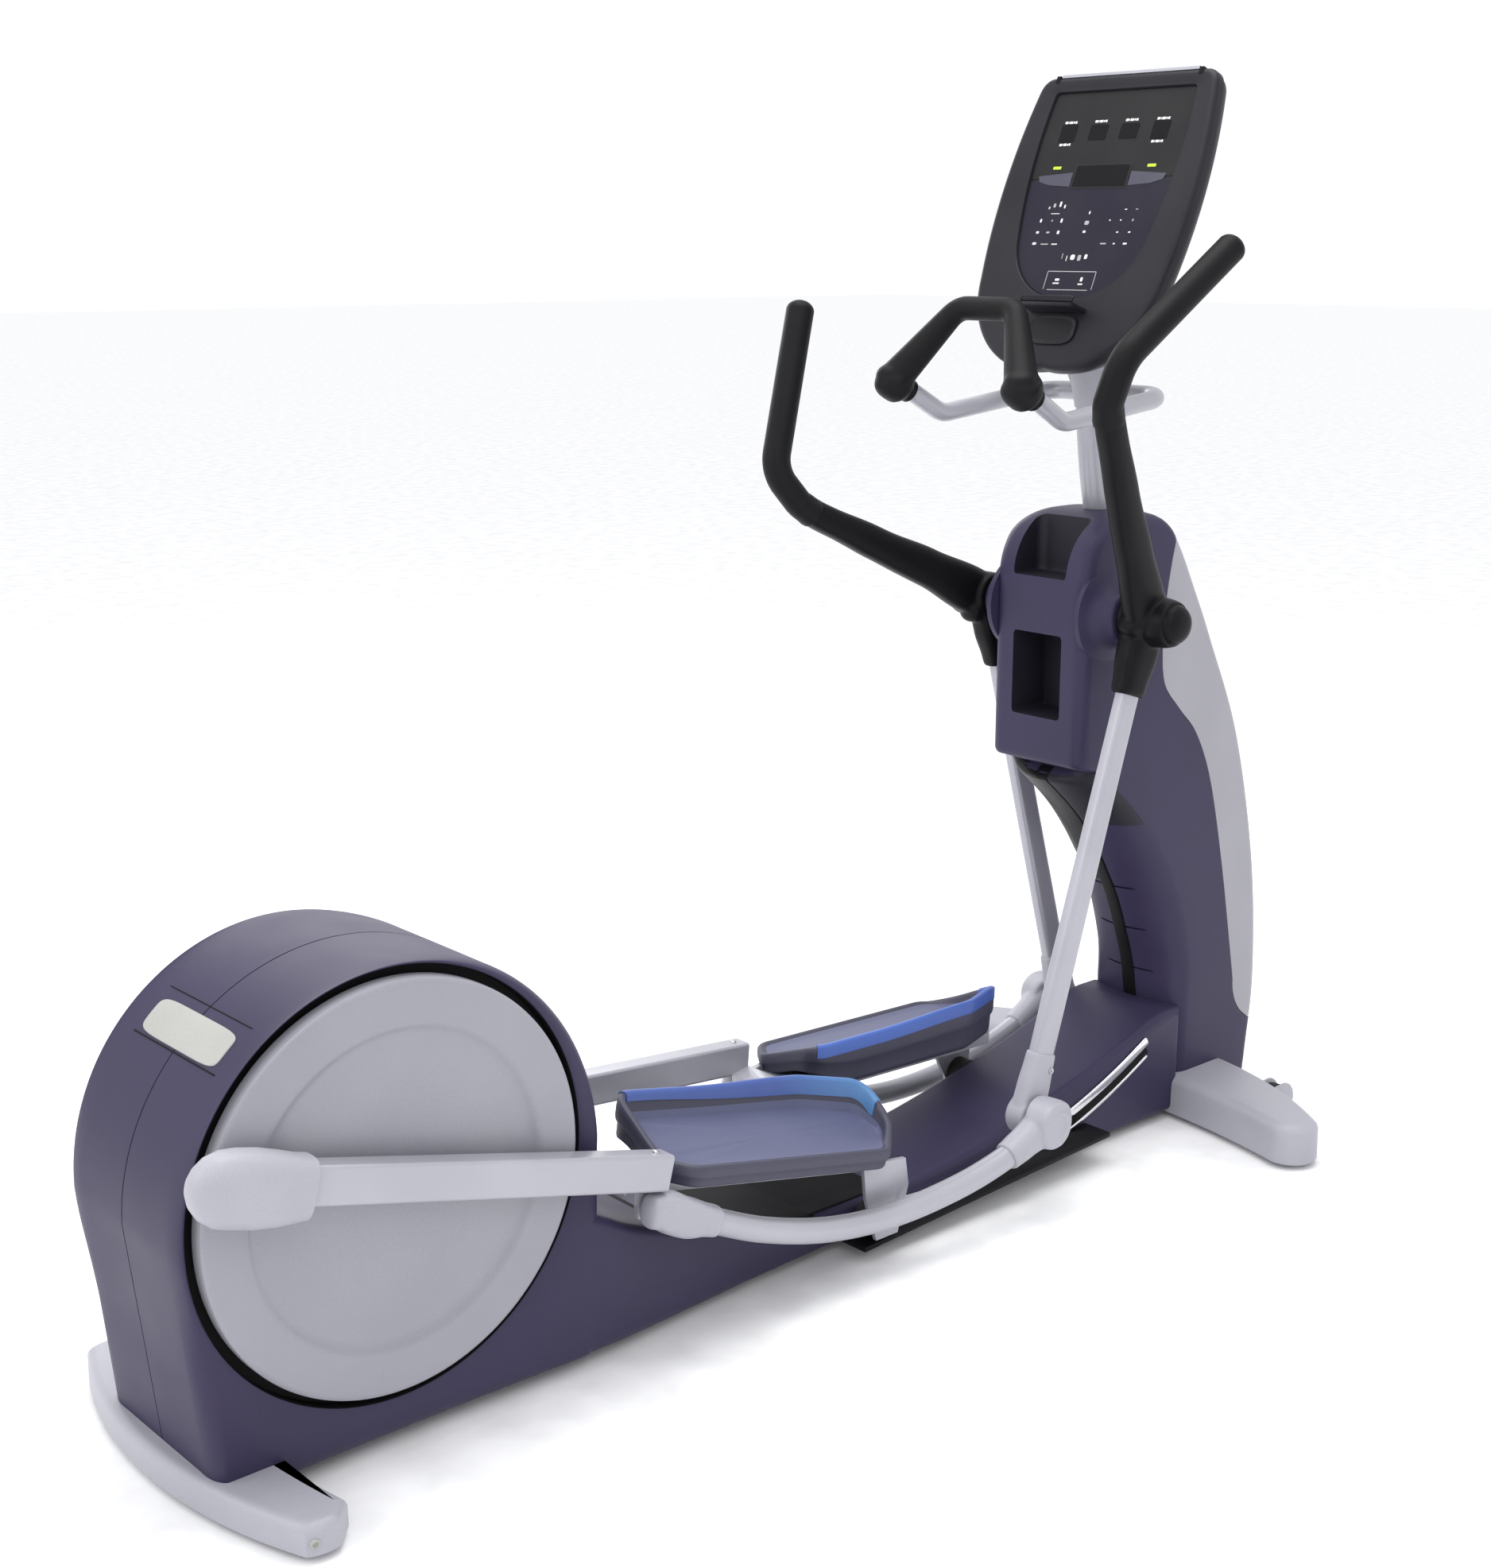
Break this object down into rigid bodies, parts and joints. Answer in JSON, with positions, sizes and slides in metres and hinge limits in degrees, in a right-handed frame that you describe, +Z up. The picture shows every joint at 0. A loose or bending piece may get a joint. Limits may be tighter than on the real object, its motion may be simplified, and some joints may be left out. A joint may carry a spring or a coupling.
{
  "type": "elliptical trainer",
  "caption": "Rear-drive elliptical trainer with disc cranks, rolling foot arms, curved links, swing handles, a leaning column and a tilted console.",
  "frame": {"origin": "bottom centre of the overall bounding box, on the floor", "axes": "+X forward, the way the user faces; +Y to the user's left; +Z up"},
  "size_m": [2.187, 0.8006, 1.7857],
  "materials": {
    "belt_rubber": "matte",
    "black_paint": "satin",
    "black_plastic": "satin",
    "console_plastic": "satin",
    "cover_plastic": "matte",
    "disc_plastic": "semi-gloss",
    "grip_rubber": "matte",
    "iron": "painted",
    "keypad_film": "satin",
    "lens": "gloss",
    "pale_plastic": "matte",
    "pedal_plastic": "matte",
    "rail_chrome": "polished",
    "shell_plastic": "matte",
    "silver_paint": "satin",
    "silver_plastic": "satin",
    "steel": "machined",
    "tread_rubber": "matte",
    "trim_plastic": "satin"
  },
  "bodies": {
    "frame": {"base_frame": "black_paint", "mast": "silver_paint", "rear_stabilizer": "silver_plastic", "front_stabilizer": "silver_plastic", "levelling_feet": "tread_rubber", "wheel_axles": "steel", "right_drive_housing": "shell_plastic", "left_drive_housing": "shell_plastic", "lift_handle_insert": "pale_plastic", "crank_bearings": "steel", "brake_unit": "iron", "drive_belt": "belt_rubber", "ramp_shroud": "shell_plastic", "ramp_rails": "rail_chrome", "roller_tracks": "black_paint", "right_column_shell": "shell_plastic", "left_column_shell": "shell_plastic", "column_back_panel": "console_plastic", "column_front_cover": "cover_plastic", "column_trim": "black_plastic", "handle_axle": "steel", "fixed_handlebar": "silver_paint", "fixed_grip": "grip_rubber", "console_housing": "console_plastic", "console_bezel": "console_plastic", "console_overlay": "keypad_film", "display_lens": "lens", "reading_ledge": "console_plastic"},
    "crank": {"drive_pulley": "black_plastic", "crankshaft": "steel", "crank_discs": "disc_plastic"},
    "flywheel": {"flywheel": "iron"},
    "right_transport_wheel": {"right_transport_wheel": "tread_rubber"},
    "right_roller_truck": {"right_roller_axle": "steel"},
    "right_roller": {"right_roller": "tread_rubber"},
    "right_foot_arm": {"right_foot_arm": "silver_paint", "right_crank_pin": "steel", "right_crank_cover": "silver_plastic", "right_pedal_tray": "pedal_plastic", "right_pedal_trim": "trim_plastic"},
    "right_link": {"right_link_tube": "silver_paint", "right_link_covers": "silver_plastic"},
    "right_handle": {"right_handle_arm": "black_plastic", "right_handle_grip": "grip_rubber", "right_swing_rod": "silver_paint", "right_rod_foot_cover": "silver_plastic"},
    "left_transport_wheel": {"left_transport_wheel": "tread_rubber"},
    "left_roller_truck": {"left_roller_axle": "steel"},
    "left_roller": {"left_roller": "tread_rubber"},
    "left_foot_arm": {"left_foot_arm": "silver_paint", "left_crank_pin": "steel", "left_crank_cover": "silver_plastic", "left_pedal_tray": "pedal_plastic", "left_pedal_trim": "trim_plastic"},
    "left_link": {"left_link_tube": "silver_paint", "left_link_covers": "silver_plastic"},
    "left_handle": {"left_handle_arm": "black_plastic", "left_handle_grip": "grip_rubber", "left_swing_rod": "silver_paint", "left_rod_foot_cover": "silver_plastic"}
  },
  "joints": [
    {"name": "crank_turn", "type": "hinge", "parent": "frame", "child": "crank", "pos_m": [-0.7865, 0, 0.365], "axis": [0, 1, 0], "continuous": true},
    {"name": "flywheel_spin", "type": "hinge", "parent": "frame", "child": "flywheel", "pos_m": [-0.6365, 0, 0.172], "axis": [0, 1, 0], "continuous": true},
    {"name": "right_wheel_spin", "type": "hinge", "parent": "frame", "child": "right_transport_wheel", "pos_m": [0.9815, -0.227, 0.034], "axis": [0, 1, 0], "continuous": true},
    {"name": "left_wheel_spin", "type": "hinge", "parent": "frame", "child": "left_transport_wheel", "pos_m": [0.9815, 0.227, 0.034], "axis": [0, 1, 0], "continuous": true},
    {"name": "right_roller_run", "type": "slide", "parent": "frame", "child": "right_roller_truck", "axis": [0.9987, 0, 0.0505], "range_m": [0, 0.49982]},
    {"name": "right_foot_arm_tip", "type": "hinge", "parent": "right_roller_truck", "child": "right_foot_arm", "pos_m": [0.0715, -0.14, 0.057], "axis": [0, -1, 0], "range_deg": [0, 9.9]},
    {"name": "right_roller_spin", "type": "hinge", "parent": "right_roller_truck", "child": "right_roller", "pos_m": [0.0715, -0.14, 0.057], "axis": [0, 1, 0], "continuous": true},
    {"name": "right_link_tip", "type": "hinge", "parent": "right_foot_arm", "child": "right_link", "pos_m": [-0.3875, -0.19, 0.227], "axis": [0, -1, 0], "range_deg": [-6.09, 0]},
    {"name": "right_handle_swing", "type": "hinge", "parent": "frame", "child": "right_handle", "pos_m": [0.6305, -0.18, 0.933], "axis": [0, -1, 0], "range_deg": [0, 34.11]},
    {"name": "left_roller_run", "type": "slide", "parent": "frame", "child": "left_roller_truck", "axis": [0.9987, 0, 0.0505], "range_m": [-0.49983, 0]},
    {"name": "left_foot_arm_tip", "type": "hinge", "parent": "left_roller_truck", "child": "left_foot_arm", "pos_m": [0.57069, 0.14, 0.08224], "axis": [0, -1, 0], "range_deg": [-9.9, 0]},
    {"name": "left_roller_spin", "type": "hinge", "parent": "left_roller_truck", "child": "left_roller", "pos_m": [0.57069, 0.14, 0.08224], "axis": [0, 1, 0], "continuous": true},
    {"name": "left_link_tip", "type": "hinge", "parent": "left_foot_arm", "child": "left_link", "pos_m": [0.08929, 0.19, 0.17079], "axis": [0, -1, 0], "range_deg": [0, 6.09]},
    {"name": "left_handle_swing", "type": "hinge", "parent": "frame", "child": "left_handle", "pos_m": [0.6305, 0.18, 0.933], "axis": [0, -1, 0], "range_deg": [-34.11, 0]}
  ],
  "couplings": [
    {"joint": "flywheel_spin", "follows": "crank_turn", "ratio": 5},
    {"joint": "left_roller_run", "follows": "right_roller_run", "ratio": -1},
    {"joint": "right_foot_arm_tip", "follows": "right_roller_run", "rad_per_m": 0.3457},
    {"joint": "right_link_tip", "follows": "right_roller_run", "rad_per_m": -0.21272},
    {"joint": "right_handle_swing", "follows": "right_roller_run", "rad_per_m": 1.1909},
    {"joint": "left_foot_arm_tip", "follows": "right_roller_run", "rad_per_m": -0.3457},
    {"joint": "left_link_tip", "follows": "right_roller_run", "rad_per_m": 0.21272},
    {"joint": "left_handle_swing", "follows": "right_roller_run", "rad_per_m": -1.1909}
  ]
}
